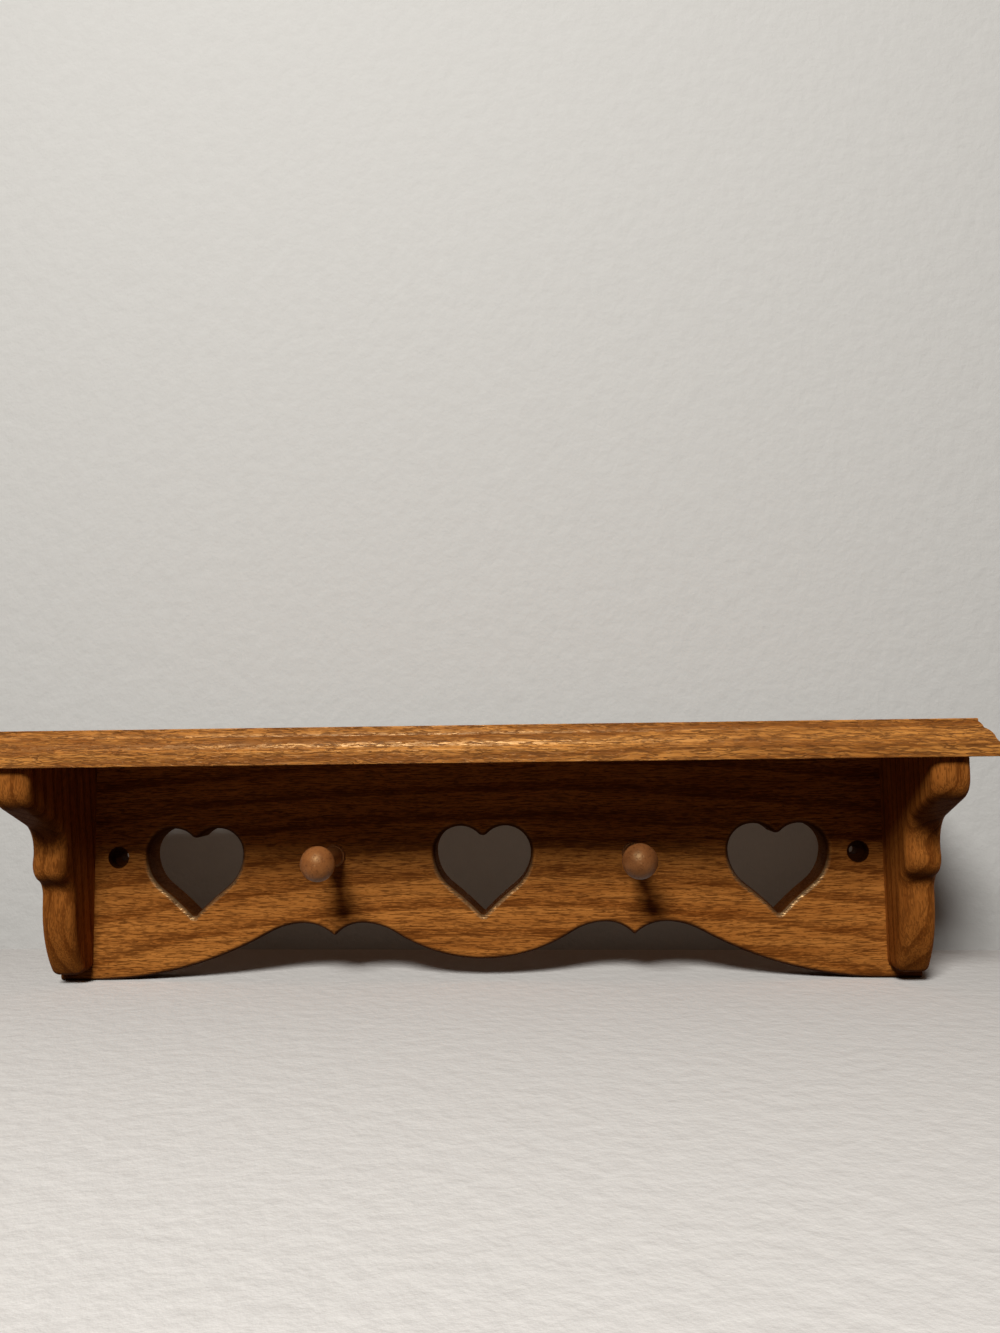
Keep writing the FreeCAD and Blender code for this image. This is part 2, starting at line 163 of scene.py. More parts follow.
class Finish(Nodes):
    """A material with one principled shader."""

    def __init__(self, name):
        self.material = bpy.data.materials.new(name)
        self.material.use_nodes = True
        super().__init__(self.material.node_tree)
        self.shader = self.tree.nodes["Principled BSDF"]

    def place(self, turn=(0, 0, 0), shift=(0, 0, 0)):
        spot = self.node("ShaderNodeTexCoord").outputs["Object"]
        sockets = {"Vector": spot, "Rotation": turn, "Location": shift}
        return self.node("ShaderNodeMapping", sockets).outputs["Vector"]

    def noise(self, place, scale, detail=2.0, rough=0.5, output="Fac"):
        stretched = self.vector("MULTIPLY", place, scale)
        sockets = {"Vector": stretched, "Scale": 1.0, "Detail": detail, "Roughness": rough}
        return self.node("ShaderNodeTexNoise", sockets).outputs[output]

    def relief(self, height, strength, distance):
        sockets = {"Height": height, "Strength": strength, "Distance": distance}
        return self.node("ShaderNodeBump", sockets).outputs["Normal"]

    def set(self, **sockets):
        for key, value in sockets.items():
            self.put(self.shader.inputs[key.replace("_", " ")], value)


print("finish helper ready")

# %% [markdown]
# ## Stained oak: growth rings
# Oak is ring porous: each year starts with a band of wide open pores, the spring wood, which soaks
# up stain and turns dark, and ends with dense pale wood. A picture of wood would smear round the
# mouldings and hearts, so the finish is a solid pattern in space instead: rings round a line beside
# the board, the pith, bent by slow noise. Once the coordinates are turned, X is along the grain, Y
# across the face and Z through the board. A tree is never quite straight, so the rings lean along X.

# %% Growth rings
SPRING_BEGINS = (0.0, 0.08)
SPRING_ENDS = (0.10, 0.55)


def wander(wood, place, scale, amount):
    """The place moved a little across the grain, by noise."""
    drift = wood.vector("SUBTRACT", wood.noise(place, scale, output="Color"), (0.5, 0.5, 0.5))
    return wood.vector("ADD", place, wood.vector("MULTIPLY", drift, (0, amount, amount)))


def spring_wood(wood, grain, look):
    """1 in the open wood that begins a year, 0 in the dense wood that ends it."""
    x, y, z = wood.node("ShaderNodeSeparateXYZ", {"Vector": grain}).outputs
    across = wood.math("ADD", y, wood.part(x, look["lean"][0]))
    through = wood.math("ADD", z, wood.part(x, look["lean"][1]))
    spot = wood.node("ShaderNodeCombineXYZ", {"X": across, "Y": through}).outputs["Vector"]
    radius = wood.vector("LENGTH", wood.vector("SUBTRACT", spot, (*look["pith"], 0)))
    year = wood.math("FRACT", wood.math("DIVIDE", radius, look["ring"]))
    ended = wood.ramp(year, *SPRING_ENDS)
    return wood.math("MULTIPLY", wood.ramp(year, *SPRING_BEGINS), wood.opposite(ended))


print("spring wood fades out at", SPRING_ENDS[1], "of a year")

# %% [markdown]
# ## Stained oak: rays, strokes and pores
# Rays, thin ribbons that run outwards through the rings, show on a flat sawn face as dark dashes.
# Between them lie wavy strokes, where the saw opened a row of pores, and single pores as fine as
# hairs. There are thousands of them, so none is drawn. Stretched Voronoi cells scatter the dashes, a
# noise gives a broken stroke wherever it passes through its middle, and its peaks give the pores.
# The dashes swell and the pores crowd together in spring wood.

# %% Dark marks
DASH = {"core": 0.18, "rim": 0.36}
DASH_SWELL = 0.12
MEAN_SPRING = 0.35
STROKE_CORE = 0.3
BREAK_SCALE = (80, 800, 800)
BREAKS = (0.38, 0.52)
PORE_PEAKS = (0.57, 0.64)
SPRING_PORES = 0.13


def spindles(finish, place, scale, core, rim, swell=0.0):
    """Scattered spindles: 1 in the middle of each, 0 outside. A swell makes them larger."""
    stretched = finish.vector("MULTIPLY", place, scale)
    sockets = {"Vector": stretched, "Scale": 1.0, "Randomness": 1.0}
    distance = finish.node("ShaderNodeTexVoronoi", sockets).outputs["Distance"]
    return finish.opposite(finish.ramp(finish.math("SUBTRACT", distance, swell), core, rim))


def strokes(wood, place, look):
    """Thin wavy lines along the grain, broken up by a second noise."""
    middle = wood.math("SUBTRACT", wood.noise(place, look["stroke"], rough=0.6), 0.5)
    width = look["stroke_width"]
    lines = wood.opposite(wood.ramp(wood.math("ABSOLUTE", middle), STROKE_CORE * width, width))
    broken = wood.ramp(wood.noise(place, BREAK_SCALE, detail=1.0), *BREAKS)
    return wood.math("MULTIPLY", lines, broken)


def dark_marks(wood, bent, frayed, spring, look):
    """How dark the stain is at each point, from rays, strokes and pores."""
    swell = wood.part(wood.math("SUBTRACT", spring, MEAN_SPRING), DASH_SWELL)
    long_dashes = spindles(wood, bent, look["dash"], swell=swell, **DASH)
    short_dashes = spindles(wood, frayed, look["dash_short"], swell=swell, **DASH)
    dashes = wood.part(wood.math("MAXIMUM", long_dashes, short_dashes), look["dash_depth"])
    crowd = wood.part(spring, SPRING_PORES)
    peaks = wood.math("ADD", wood.noise(frayed, look["pore"], detail=1.0), crowd)
    pores = wood.part(wood.ramp(peaks, *PORE_PEAKS), look["pore_depth"])
    lines = wood.part(strokes(wood, frayed, look), look["stroke_depth"])
    return wood.math("MAXIMUM", wood.math("MAXIMUM", dashes, pores), lines)


print("dark marks: dashes, strokes and pores")

# %% [markdown]
# ## Stained oak: the wood between the marks
# Even between its marks oak isn't one colour. Spring wood is warmer, streaks run the length of a
# board, fibres give a fine silk, and the stain lies a little cloudy. One noise could carry all of
# that, but the four have very different lengths, so each adds its own share of warmth.

# %% Bare wood
STREAK_SCALE = (6, 170, 110)
STREAKS = (0.36, 0.68)
STREAK_DEPTH = 0.45
FIBRES = (0.38, 0.66)
CLOUD_SCALE = (9, 24, 24)
CLOUDS = (0.40, 0.75)
CLOUD_DEPTH = 0.25


def bare_wood(wood, bent, spring, fibres, cloud, look):
    """The colour of the wood between the marks, from pale to warm."""
    streaks = wood.noise(bent, STREAK_SCALE, detail=3.0, rough=0.6)
    warmth = wood.part(spring, look["band"])
    shares = (
        (streaks, STREAKS, STREAK_DEPTH),
        (fibres, FIBRES, look["fibre_depth"]),
        (cloud, CLOUDS, CLOUD_DEPTH),
    )
    for noise, span, depth in shares:
        share = wood.part(wood.ramp(noise, *span), depth)
        warmth = wood.math("ADD", warmth, share, clamp=True)
    return wood.mix(warmth, look["pale"], look["warm"])


print("bare wood: streaks, fibres and cloud")

# %% [markdown]
# ## Stained oak: stain and painted shade on the edges
# Sawn and routed edges drink more stain than planed faces, and so does end grain. The walls of the
# hearts, the scalloped edge and the undersides of the scrolls are darkened for that, and also with
# painted shade where they lie in shade; the two counterbores get painted shade alone. Vertex colours
# could mark those places, but the solids' meshes stay untouched. The direction that the surface looks
# in tells a planed face from an edge, and the counterbores are found by their distance from the screw
# holes.

# %% Stained and shaded edges
# Dark colour for stain soaked into edges and end grain, also used as painted shade there and in the
# counterbores
STAIN_AND_SHADE_OAK = colour(0.038, 0.0090, 0.0014)
PLANED = (0.70, 0.9985)
END_GRAIN = (0.20, 0.95)
HOLE_X = 214.5 * MM
HOLE_REACH = 6.55 * MM
HOLE_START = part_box("back_board")[0].y + 0.2 * MM


def facing(wood, axis):
    """1 where the surface looks along the axis, 0 where it lies along it, -1 where it looks back."""
    normal = wood.node("ShaderNodeNewGeometry").outputs["Normal"]
    return wood.node("ShaderNodeSeparateXYZ", {"Vector": normal}).outputs[axis]


def counterbore_shade(wood):
    """1 inside the two counterbores, where shade is painted in."""
    spot = wood.node("ShaderNodeTexCoord").outputs["Object"]
    mirrored = wood.vector("ABSOLUTE", wood.vector("MULTIPLY", spot, (1, 0, 1)))
    away = wood.vector("LENGTH", wood.vector("SUBTRACT", mirrored, (HOLE_X, 0, 0)))
    depth = wood.node("ShaderNodeSeparateXYZ", {"Vector": spot}).outputs["Y"]
    inside = wood.math("LESS_THAN", away, HOLE_REACH)
    return wood.math("MULTIPLY", inside, wood.math("GREATER_THAN", depth, HOLE_START))


def stain_and_shade(wood, body, sawn, look):
    """The body colour, darkened on sawn edges and end grain for their stain and as painted shade, and
    in the screw holes as painted shade.
    """
    depth = wood.part(sawn, look["sawn"])
    if look["holes"]:
        depth = wood.math("MAXIMUM", depth, wood.part(counterbore_shade(wood), look["holes"]))
    if look["end"]:
        across = wood.math("ABSOLUTE", facing(wood, look["along"]))
        end_grain = wood.part(wood.ramp(across, *END_GRAIN), look["end"])
        depth = wood.math("MAXIMUM", depth, end_grain)
    return wood.mix(depth, body, STAIN_AND_SHADE_OAK)


print("screw holes from", round(HOLE_START / MM, 1), "mm inwards")

# %% [markdown]
# ## Stained oak: gloss and relief
# The varnish is thin. It glints on the rounded edges that look up at the lamp, and is dull over open
# pores and sawn wood. A glossy clear layer over everything would look like plastic, so the gloss is
# set by the same marks as the colour, and the pores are pressed in by a bump. The golden tint is that
# of the varnish.

# %% Gloss
GOLD = colour(1.0, 0.72, 0.36)
VARNISH_IOR = 1.5
VARNISH_ROUGHNESS = 0.22
OAK_ROUGHNESS = 0.36
DULL_PORES = 0.22
DULL_SAWN = 0.20
DULL_CLOUD = 0.14
SMOOTH_GLINTS = 0.11
ROUNDING_BEGINS = (0.48, 0.72)
ROUNDING_ENDS = (0.97, 0.999)
UPWARD = (0.0, 0.3)
UPWARD_SHARE = 0.96
PORE_DEPTH = 0.3 * MM
FIBRE_HEIGHT = 0.5


def edge_glints(wood, planed):
    """1 on rounded edges that look upwards, almost nothing elsewhere."""
    ended = wood.ramp(planed, *ROUNDING_ENDS)
    rounded = wood.math("MULTIPLY", wood.ramp(planed, *ROUNDING_BEGINS), wood.opposite(ended))
    upward = wood.part(wood.ramp(facing(wood, "Z"), *UPWARD), UPWARD_SHARE)
    return wood.math("MULTIPLY", rounded, wood.math("ADD", upward, 1 - UPWARD_SHARE))


def oak_roughness(wood, stain, sawn, cloud, glints):
    """Dull in pores and on sawn wood, a little cloudy, and smooth where an edge glints."""
    dull = wood.math("ADD", wood.part(stain, DULL_PORES), wood.part(sawn, DULL_SAWN))
    dull = wood.math("ADD", dull, wood.part(cloud, DULL_CLOUD))
    dull = wood.math("SUBTRACT", dull, wood.part(glints, SMOOTH_GLINTS))
    return wood.math("ADD", dull, OAK_ROUGHNESS)


def with_glints(wood, plain, glints, extra):
    """A plain number, or more of it where an edge glints."""
    if not extra:
        return plain
    return wood.math("ADD", wood.part(glints, extra), plain)


print("gloss: edges glint, pores are dull")

# %% [markdown]
# ## Stained oak: all of it together
# The three boards are cut from oak in three ways, so one function makes the finish and a look, a set
# of named numbers, says how the board lies in the tree and how strong each mark is. The place is
# bent twice: slowly, for the sweep of the rings, and quickly, for their frayed edges. The plain sheen
# is set on the socket before the glints are linked to it, so it stays there for other programs.

# %% Oak finish
STAIN_DEPTH = 0.92


def oak(name, look):
    wood = Finish(name)
    grain = wood.place(look["turn"], look["shift"])
    bent = wander(wood, grain, look["slow"], look["sway"])
    frayed = wander(wood, bent, look["quick"], look["jitter"])

    spring = spring_wood(wood, frayed, look)
    stain = dark_marks(wood, bent, frayed, spring, look)
    fibres = wood.noise(bent, look["fibre"], rough=0.6)
    cloud = wood.noise(grain, CLOUD_SCALE, detail=3.0, rough=0.55)
    body = bare_wood(wood, bent, spring, fibres, cloud, look)
    body = wood.mix(wood.part(stain, STAIN_DEPTH), body, look["dark"])

    planed = wood.math("ABSOLUTE", facing(wood, look["faces"]))
    sawn = wood.opposite(wood.ramp(planed, *PLANED))
    glints = edge_glints(wood, planed)
    height = wood.math("SUBTRACT", wood.part(fibres, FIBRE_HEIGHT), stain)
    strength = with_glints(wood, look["relief"], glints, look["edge_relief"])
    normal = wood.relief(height, strength, PORE_DEPTH)
    roughness = oak_roughness(wood, stain, sawn, cloud, glints)

    # Base colour: grain, with stain and painted shade on edges and end grain, and painted shade in
    # the counterbores
    wood.set(Base_Color=stain_and_shade(wood, body, sawn, look), Roughness=roughness, Normal=normal)
    wood.set(IOR=VARNISH_IOR, Specular_Tint=GOLD, Specular_IOR_Level=look["sheen"])
    wood.set(Specular_IOR_Level=with_glints(wood, look["sheen"], glints, look["edge_sheen"]))
    wood.set(Coat_Weight=look["varnish"], Coat_Roughness=VARNISH_ROUGHNESS, Coat_Normal=normal)
    return wood.material


print("oak finish ready")

# %% [markdown]
# ## The back board's oak
# The back board is flat sawn: wide bands sweep across it and the rays show as long dashes. Its face
# is dull, its heart and scallop edges are darkened by stain and painted shade and have bright glints.
# Scales are in marks per metre, along the grain, across the face and through the board, and lengths
# are in metres.

# %% Back board finish
BACK_LOOK = {
    # How the board lies: the axes its planed faces look along and its grain runs along
    "faces": "Y",
    "along": "X",
    "turn": (math.radians(90), 0, 0),
    "shift": (0.30, 0, 0),
    # Growth rings
    "lean": (0.0, -0.30),
    "pith": (0.13, -0.115),
    "ring": 0.0165,
    "slow": (3.5, 16, 10),
    "sway": 0.010,
    "quick": (45, 260, 120),
    "jitter": 0.0009,
    # Marks
    "dash": (48, 780, 60),
    "dash_short": (90, 1050, 90),
    "dash_depth": 0.80,
    "stroke": (42, 820, 300),
    "stroke_width": 0.05,
    "stroke_depth": 0.85,
    "pore": (300, 1500, 900),
    "pore_depth": 0.50,
    "fibre": (30, 1300, 1300),
    "fibre_depth": 0.28,
    "band": 0.40,
    # Darkened places: stain and painted shade on sawn edges, painted shade in the screw holes
    "sawn": 0.92,
    "end": 0.0,
    "holes": 0.9,
    # Gloss and relief
    "relief": 0.30,
    "sheen": 0.03,
    "varnish": 0.02,
    "edge_sheen": 1.8,
    "edge_relief": 1.4,
    # Colours
    "pale": colour(0.490, 0.185, 0.037),
    "warm": colour(0.245, 0.073, 0.011),
    "dark": colour(0.060, 0.0140, 0.002),
}
back_oak = oak("oak_back", BACK_LOOK)
print("finish:", back_oak.name)

# %% [markdown]
# ## The shelf's oak
# The shelf's moulded front cuts through many narrow rings at a slant, so it shows short wavy strokes
# instead of bands. It gets the most lamp light, has the strongest sheen and sparkles in the middle.
# What it shares with the back board is taken over from there.

# %% Shelf finish
SHELF_LOOK = {
    **BACK_LOOK,
    "turn": (math.radians(35), math.radians(-1.5), 0),
    "shift": (0.9, 0, 0),
    "lean": (0.03, 0.02),
    "pith": (0.06, -0.05),
    "ring": 0.0062,
    "slow": (9, 45, 45),
    "sway": 0.0075,
    "quick": (60, 170, 170),
    "jitter": 0.0035,
    "dash": (80, 900, 200),
    "dash_short": (120, 1200, 250),
    "dash_depth": 0.35,
    "stroke": (55, 800, 800),
    "stroke_width": 0.06,
    "stroke_depth": 0.95,
    "pore": (200, 1100, 1100),
    "fibre": (45, 1000, 1000),
    "fibre_depth": 0.6,
    "band": 0.50,
    "sawn": 0.0,
    "holes": 0.0,
    "relief": 0.8,
    "sheen": 0.52,
    "edge_sheen": 0.0,
    "edge_relief": 0.0,
    "pale": colour(0.58, 0.236, 0.048),
    "warm": colour(0.270, 0.083, 0.011),
    "dark": colour(0.110, 0.030, 0.004),
}
shelf_oak = oak("oak_shelf", SHELF_LOOK)
print("finish:", shelf_oak.name)

# %% [markdown]
# ## The brackets' oak
# The brackets stand with their grain upright. Their scrolled front is shaped across the rings, so
# the rings come out as loops on the nose and the bead, and the end grain, as on the undersides,
# is darkened for its stain and with painted shade.

# %% Bracket finish
BRACKET_LOOK = {
    **BACK_LOOK,
    "faces": "X",
    "along": "Z",
    "turn": (0, math.radians(90), 0),
    "shift": (0.5, 0, 0),
    "lean": (0.05, 0.12),
    "pith": (-0.34, -0.02),
    "ring": 0.0065,
    "slow": (5, 30, 30),
    "sway": 0.006,
    "dash": (75, 1000, 700),
    "dash_short": (130, 1400, 900),
    "dash_depth": 0.55,
    "stroke": (45, 600, 700),
    "stroke_depth": 0.50,
    "pore": (260, 1500, 1500),
    "band": 0.50,
    # Darkened places: stain and painted shade on sawn edges and on the end grain of the undersides
    "sawn": 0.15,
    "end": 0.65,
    "holes": 0.0,
    "edge_sheen": 0.15,
    "edge_relief": 0.0,
    "pale": colour(0.400, 0.136, 0.024),
    "warm": colour(0.215, 0.062, 0.009),
    "dark": colour(0.055, 0.0130, 0.002),
}
bracket_oak = oak("oak_bracket", BRACKET_LOOK)
print("finish:", bracket_oak.name)

# %% [markdown]
# ## Turned birch
# The two pegs are a closer grained wood than the boards, bought in ready turned. They took the stain
# less evenly, so their heads look pinkish and a little cloudy, and one is darker than the other. The
# grain runs along the peg, out of the wall, so the same stretched noise is used with its long way
# along Y.

# %% Birch finish
BIRCH_FIBRE_SCALE = (1500, 60, 1500)
BIRCH_FLECK_SCALE = (650, 160, 650)
BIRCH_CLOUD_SCALE = (140, 60, 140)
BIRCH_FLECK = {"core": 0.10, "rim": 0.42}
BIRCH_SILK = (0.35, 0.70)
BIRCH_SILK_DEPTH = 0.35
BIRCH_CLOUDS = (0.40, 0.68)
BIRCH_CLOUD_DEPTH = 0.50
BIRCH_FLECK_DEPTH = 0.50
BIRCH_ROUGHNESS = 0.30
BIRCH_DULL_CLOUD = 0.25
BIRCH_RELIEF = 0.35
BIRCH_PORE_DEPTH = 0.2 * MM
BIRCH_SHEEN = 0.50


def birch(name, shift, pale_wood, dark_wood):
    wood = Finish(name)
    place = wood.place(shift=shift)
    fibres = wood.noise(place, BIRCH_FIBRE_SCALE, rough=0.55)
    flecks = spindles(wood, place, BIRCH_FLECK_SCALE, **BIRCH_FLECK)
    cloud = wood.noise(place, BIRCH_CLOUD_SCALE)
    silk = wood.part(wood.ramp(fibres, *BIRCH_SILK), BIRCH_SILK_DEPTH)
    haze = wood.part(wood.ramp(cloud, *BIRCH_CLOUDS), BIRCH_CLOUD_DEPTH)
    warmth = wood.math("ADD", silk, haze)
    warmth = wood.math("ADD", warmth, wood.part(flecks, BIRCH_FLECK_DEPTH), clamp=True)
    height = wood.math("SUBTRACT", wood.part(fibres, FIBRE_HEIGHT), flecks)
    roughness = wood.math("ADD", wood.part(cloud, BIRCH_DULL_CLOUD), BIRCH_ROUGHNESS)
    wood.set(Base_Color=wood.mix(warmth, pale_wood, dark_wood), Roughness=roughness)
    wood.set(Normal=wood.relief(height, BIRCH_RELIEF, BIRCH_PORE_DEPTH))
    wood.set(IOR=VARNISH_IOR, Specular_IOR_Level=BIRCH_SHEEN, Specular_Tint=GOLD)
    return wood.material


LEFT_BIRCH = (colour(0.305, 0.112, 0.031), colour(0.150, 0.046, 0.012))
RIGHT_BIRCH = (colour(0.205, 0.074, 0.022), colour(0.100, 0.030, 0.008))
left_birch = birch("birch_left", (0.2, 0, 0), *LEFT_BIRCH)
right_birch = birch("birch_right", (0.7, 0, 0), *RIGHT_BIRCH)
print("finishes:", left_birch.name, right_birch.name)

# %% [markdown]
# ## Screws and dowels
# Four zinc plated screws come in from behind and hold the brackets, and beech dowels sit blind
# under the shelf. Only the screw heads ever show, on the back. Zinc is a soft grey metal with a
# faint yellow cast and cloudy plating, and beech is a pale wood with fine brown flecks, so one noise
# and one set of spindles are enough for them.

# %% Zinc and beech finishes
ZINC = colour(0.62, 0.59, 0.50)
DULL_ZINC = colour(0.42, 0.40, 0.34)
ZINC_CLOUD_SCALE = (900, 900, 900)
ZINC_CLOUDS = (0.35, 0.70)
ZINC_ROUGHNESS = 0.22
ZINC_DULL_CLOUD = 0.30
PALE_BEECH = colour(0.60, 0.43, 0.27)
BEECH_BROWN = colour(0.38, 0.23, 0.12)
BEECH_FLECK_SCALE = (900, 900, 260)
BEECH_FLECK = {"core": 0.10, "rim": 0.40}
BEECH_ROUGHNESS = 0.55
BEECH_DULL_FLECK = 0.20


def zinc(name):
    metal = Finish(name)
    cloud = metal.noise(metal.place(), ZINC_CLOUD_SCALE, detail=3.0, rough=0.6)
    body = metal.mix(metal.ramp(cloud, *ZINC_CLOUDS), ZINC, DULL_ZINC)
    roughness = metal.math("ADD", metal.part(cloud, ZINC_DULL_CLOUD), ZINC_ROUGHNESS)
    metal.set(Base_Color=body, Metallic=1.0, Roughness=roughness)
    return metal.material


def beech(name):
    wood = Finish(name)
    flecks = spindles(wood, wood.place(), BEECH_FLECK_SCALE, **BEECH_FLECK)
    roughness = wood.math("ADD", wood.part(flecks, BEECH_DULL_FLECK), BEECH_ROUGHNESS)
    wood.set(Base_Color=wood.mix(flecks, PALE_BEECH, BEECH_BROWN), Roughness=roughness)
    return wood.material


screw_zinc = zinc("zinc_screw")
dowel_beech = beech("beech_dowel")
print("finishes:", screw_zinc.name, dowel_beech.name)

# %% [markdown]
# ## Dress the solids
# Each node is of one wood or metal all through, so it needs a single material slot. The frame's
# solids come with a plain stand-in material, which is cleared first.

# %% Give every solid its finish
finish_of = {
    "shelf_board": shelf_oak,
    "back_board": back_oak,
    "left_bracket": bracket_oak,
    "right_bracket": bracket_oak,
    "left_peg": left_birch,
    "right_peg": right_birch,
    "bracket_screws": screw_zinc,
    "shelf_dowels": dowel_beech,
}
for name, finish in finish_of.items():
    nodes[name].data.materials.clear()
    nodes[name].data.materials.append(finish)
print("finishes given to", len(finish_of), "solids")

# %% [markdown]
# ## Paint for the floor and the wall
# The shelf stands on a pale floor in front of a pale wall. Truly pale ones would throw light back
# into the shadow under the shelf, which is deep in the photograph. So both look pale to the camera
# and in reflections, which the Light Path node can tell, and are dull for every other ray.

# %% Pale paint
PALE_FLOOR = colour(0.82, 0.79, 0.74)
PALE_WALL = colour(0.605, 0.595, 0.560)
DULL = colour(0.075, 0.048, 0.034)
MOTTLE_SCALE = (110, 110, 110)
MOTTLE_DEPTH = 0.08
MOTTLE_RELIEF = 0.30
MOTTLE_HEIGHT = 3 * MM
PAINT_ROUGHNESS = 0.85
PAINT_SHEEN = 0.2


def seen_rays(tree):
    """1 for a ray that shows the surface to the camera, straight or by way of gloss or glass."""
    rays = tree.node("ShaderNodeLightPath").outputs
    gloss = tree.math("MAXIMUM", rays["Is Glossy Ray"], rays["Is Transmission Ray"])
    return tree.math("MAXIMUM", rays["Is Camera Ray"], gloss)


def pale(name, body):
    paint = Finish(name)
    mottle = paint.noise(paint.place(), MOTTLE_SCALE, detail=4.0, rough=0.6)
    tone = paint.mix(paint.part(mottle, MOTTLE_DEPTH), body, DULL)
    paint.set(Base_Color=paint.mix(seen_rays(paint), DULL, tone), Roughness=PAINT_ROUGHNESS)
    normal = paint.relief(mottle, MOTTLE_RELIEF, MOTTLE_HEIGHT)
    paint.set(Specular_IOR_Level=PAINT_SHEEN, Normal=normal)
    return paint


floor_paint = pale("floor_paint", PALE_FLOOR)
wall_paint = pale("wall_paint", PALE_WALL)
print("paints:", floor_paint.material.name, wall_paint.material.name)

# %% [markdown]
# ## Floor and wall
# Both are single flat sheets. From behind, the wall would hide the shelf, so its back is made
# transparent with the Backfacing output, and it casts no shadow and throws no light back. The wall
# is turned a little, as it is in the photograph.

# %% Floor and wall
FLOOR_Z = cad_low.z - 0.1 * MM
FLOOR_SIZE = (3.2, 3.2)
WALL_Y = 70 * MM
WALL_SIZE = (4.0, 2.0)
WALL_TURN = math.radians(-1.6)
UPRIGHT = Matrix.Rotation(math.radians(90), 4, "X")


def sheet(name, size, place, finish):
    """A flat rectangle of the stage, with its place in its mesh."""
    shape = bmesh.new()
    bmesh.ops.create_grid(shape, x_segments=1, y_segments=1, size=0.5)
    bmesh.ops.scale(shape, vec=(size[0], size[1], 1), verts=shape.verts)
    bmesh.ops.transform(shape, matrix=place, verts=shape.verts)
    mesh = bpy.data.meshes.new(name)
    shape.to_mesh(mesh)
    shape.free()
    mesh.materials.append(finish.material)
    stage = bpy.data.objects.new(name, mesh)
    bpy.context.scene.collection.objects.link(stage)
    return stage


def clear_behind(paint):
    """Makes the back of a painted sheet transparent."""
    behind = paint.node("ShaderNodeNewGeometry").outputs["Backfacing"]
    clear = paint.node("ShaderNodeBsdfTransparent").outputs["BSDF"]
    sides = {0: behind, 1: paint.shader.outputs["BSDF"], 2: clear}
    one_sided = paint.node("ShaderNodeMixShader", sides).outputs["Shader"]
    paint.put(paint.tree.nodes["Material Output"].inputs["Surface"], one_sided)


clear_behind(wall_paint)
sheet("floor", FLOOR_SIZE, Matrix.Translation((0, 0, FLOOR_Z)), floor_paint)
wall_middle = Matrix.Translation((0, WALL_Y, FLOOR_Z + WALL_SIZE[1] / 2))
wall_place = wall_middle @ Matrix.Rotation(WALL_TURN, 4, "Z") @ UPRIGHT
wall = sheet("wall", WALL_SIZE, wall_place, wall_paint)
wall.visible_shadow = False
wall.visible_diffuse = False
print("floor at", round(FLOOR_Z / MM, 1), "mm, wall", round(WALL_Y / MM), "mm behind")

# %% [markdown]
# ## A card behind the hearts
# In the photograph the wall seen through the hearts is dark and even. Here the lamp would shine
# through them and throw three bright hearts on the wall. The lamp could be moved, but the shadows fix
# its place. So a card that casts a shadow, and is seen by no other ray, takes that light away.

# %% Card
CARD_SIZE = (0.46, 0.07)
HEART_Z = -5 * MM
CARD_Y = 8 * MM

card_place = Matrix.Translation((0, CARD_Y, HEART_Z)) @ UPRIGHT
card = sheet("card", CARD_SIZE, card_place, floor_paint)
card.visible_camera = False
card.visible_diffuse = False
card.visible_glossy = False
card.visible_transmission = False
print("card", CARD_Y / MM, "mm behind the hearts")

# %% [markdown]
# ## The key lamp
# One soft lamp stands in front, a little left of the camera and above it, and throws the shelf's
# shadow across the upper half of the back board. Its place could be tried out, but the peg shadows
# give it: they fall down and slightly to the right. Its size gives the shadows their soft edge, and
# at its strength a colour renders about as it is written.

# %% Key lamp
KEY_PLACE = Vector((-0.27, -1.50, 1.08))
KEY_AIM = Vector((0, -0.03, 0))
KEY_POWER = 36.0
KEY_SIZE = 0.55


def lamp(name, place, aim, power, size):
    """A round area lamp at a place, turned to its aim."""
    data = bpy.data.lights.new(name, "AREA")
    data.energy = power
    data.shape = "DISK"
    data.size = size
    light = bpy.data.objects.new(name, data)
    light.location = place
    light.rotation_euler = (aim - place).to_track_quat("-Z", "Y").to_euler()
    bpy.context.scene.collection.objects.link(light)
    return light


key = lamp("key_lamp", KEY_PLACE, KEY_AIM, KEY_POWER, KEY_SIZE)
print("lamp:", key.name, KEY_POWER, "W")

# %% [markdown]
# ## Lamps behind and beside
# From the back and the ends the shelf would stand in its own shadow. Two weak lamps behind the wall
# and two at the sides keep it readable there. With light linking they light the part alone, and
# they don't bounce or show as reflections, so the photograph's side stays as it was.

# %% Lamps behind and beside
REAR_PLACE = Vector((0.55, 1.75, 0.28))
SIDE_PLACE = Vector((1.70, 0.25, 0.35))
EXTRA_POWER = 6.0
EXTRA_SIZE = 0.6
MIDDLE = Vector((0, 0, 0))

part_only = bpy.data.collections.new("part_only")
for solid in nodes.values():
    part_only.objects.link(solid)
for side in (-1, 1):
    for name, place in (("rear", REAR_PLACE), ("side", SIDE_PLACE)):
        mirrored = Vector((side * place.x, place.y, place.z))
        extra = lamp(f"{name}_lamp_{side}", mirrored, MIDDLE, EXTRA_POWER, EXTRA_SIZE)
        extra.data.cycles.max_bounces = 0
        extra.visible_glossy = False
        extra.light_linking.receiver_collection = part_only
        extra.light_linking.blocker_collection = part_only

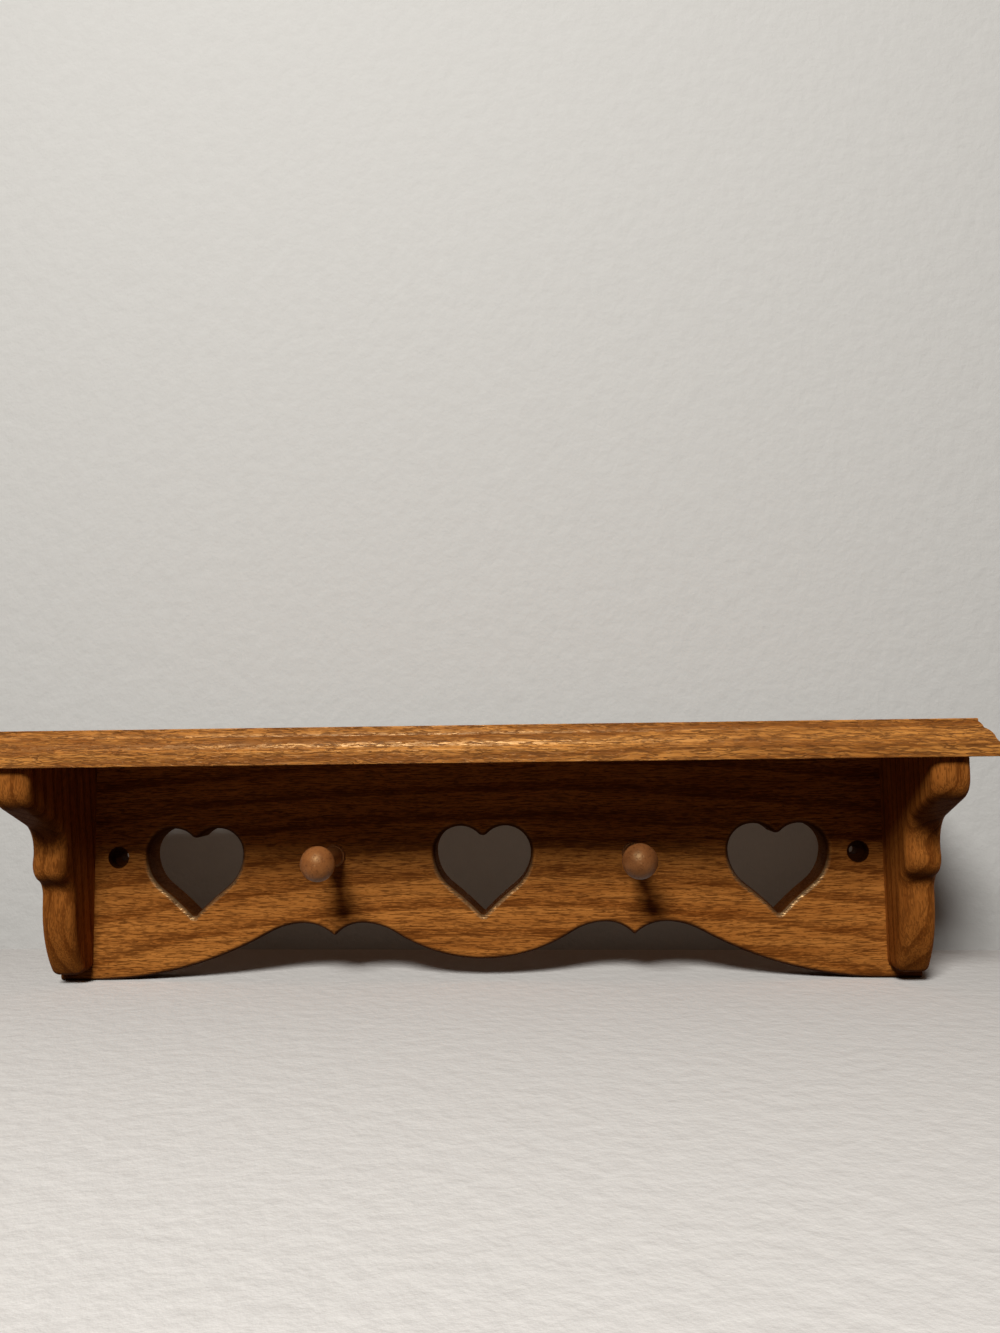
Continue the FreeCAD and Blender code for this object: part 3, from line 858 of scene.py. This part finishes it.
# %% [markdown]
# ## Glow between board and wall
# Behind the board a little light is thrown to and fro between oak and wall, and gives the wall seen
# through the hearts a warm dim tone. Many bounces in a narrow gap are slow and noisy, so a very weak
# warm lamp, linked to the wall alone, stands for them.

# %% Glow
GLOW_POWER = 0.012
GLOW_SIZE = (0.46, 0.09)
GLOW_Y = 15 * MM
GLOW_COLOUR = (1.0, 0.763, 0.589)

wall_only = bpy.data.collections.new("wall_only")
wall_only.objects.link(wall)
glow_place = Vector((0, GLOW_Y, HEART_Z))
glow = lamp("glow_lamp", glow_place, Vector((0, WALL_Y, HEART_Z)), GLOW_POWER, GLOW_SIZE[0])
glow.data.shape = "RECTANGLE"
glow.data.size_y = GLOW_SIZE[1]
glow.data.color = GLOW_COLOUR
glow.data.cycles.max_bounces = 0
glow.visible_camera = False
glow.light_linking.receiver_collection = wall_only
print("lamp:", glow.name, GLOW_POWER, "W")

# %% [markdown]
# ## The world
# A dim warm world fills the shadows, as the light of a room does. To the camera it looks pale, for
# the views where the wall isn't behind the shelf, and gloss sees it pale where the wall would stand.
# That could be done with a bright world and less lamp light, but then the shadows would wash out.

# %% World
FILL = colour(0.046, 0.027, 0.018)
PALE_WORLD = colour(0.70, 0.686, 0.665)
WALL_SIDE = (-0.2, 0.5)

world = bpy.data.worlds.new("studio")
world.use_nodes = True
bpy.context.scene.world = world
sky = Nodes(world.node_tree)
rays = sky.node("ShaderNodeLightPath").outputs
heading = sky.node("ShaderNodeTexCoord").outputs["Generated"]
heading_y = sky.node("ShaderNodeSeparateXYZ", {"Vector": heading}).outputs["Y"]
gloss = sky.math("MAXIMUM", rays["Is Glossy Ray"], rays["Is Transmission Ray"])
gloss = sky.math("MULTIPLY", gloss, sky.ramp(heading_y, *WALL_SIDE))
seen = sky.math("MAXIMUM", rays["Is Camera Ray"], gloss)
background = world.node_tree.nodes["Background"]
sky.put(background.inputs["Color"], sky.mix(seen, FILL, PALE_WORLD))
bpy.context.scene.view_settings.view_transform = "Standard"
print("world:", world.name)
